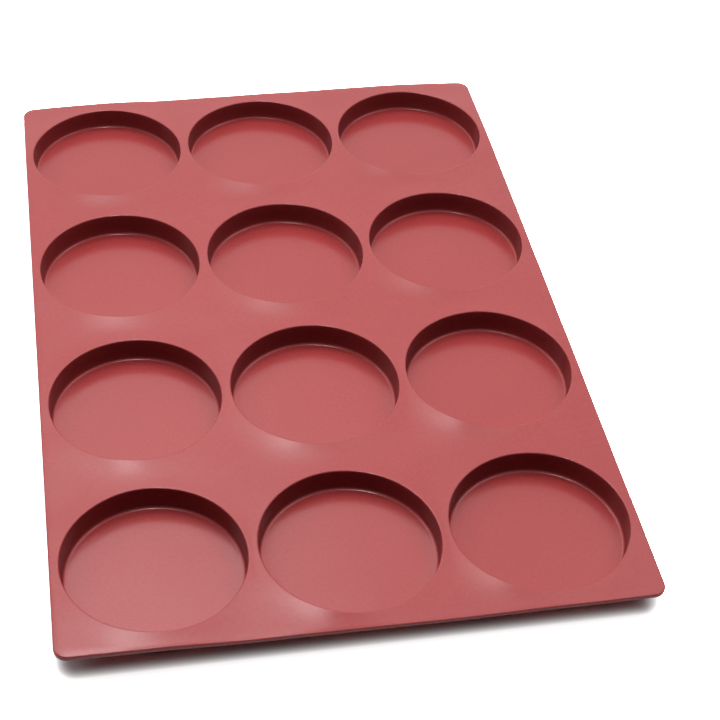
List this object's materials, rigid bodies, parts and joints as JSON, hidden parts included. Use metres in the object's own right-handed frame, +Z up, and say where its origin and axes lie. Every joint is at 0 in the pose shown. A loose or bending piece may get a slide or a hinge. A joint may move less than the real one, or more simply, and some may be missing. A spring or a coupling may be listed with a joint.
{
  "type": "silicone baking mould",
  "caption": "Flexible silicone baking sheet with a grid of shallow round flat-bottomed wells, moulded in one piece, for a standard bakery tray.",
  "frame": {"origin": "middle of the plane that the undersides of the wells stand on, below the middle of the sheet", "axes": "+Z up, out of the open wells; +Y along the long side of the sheet; +X along its short side"},
  "size_m": [0.4, 0.6, 0.0205],
  "materials": {
    "silicone": "satin moulded silicone in a dusty terracotta red"
  },
  "bodies": {
    "root": {"baking_mould": "silicone"}
  },
  "joints": []
}
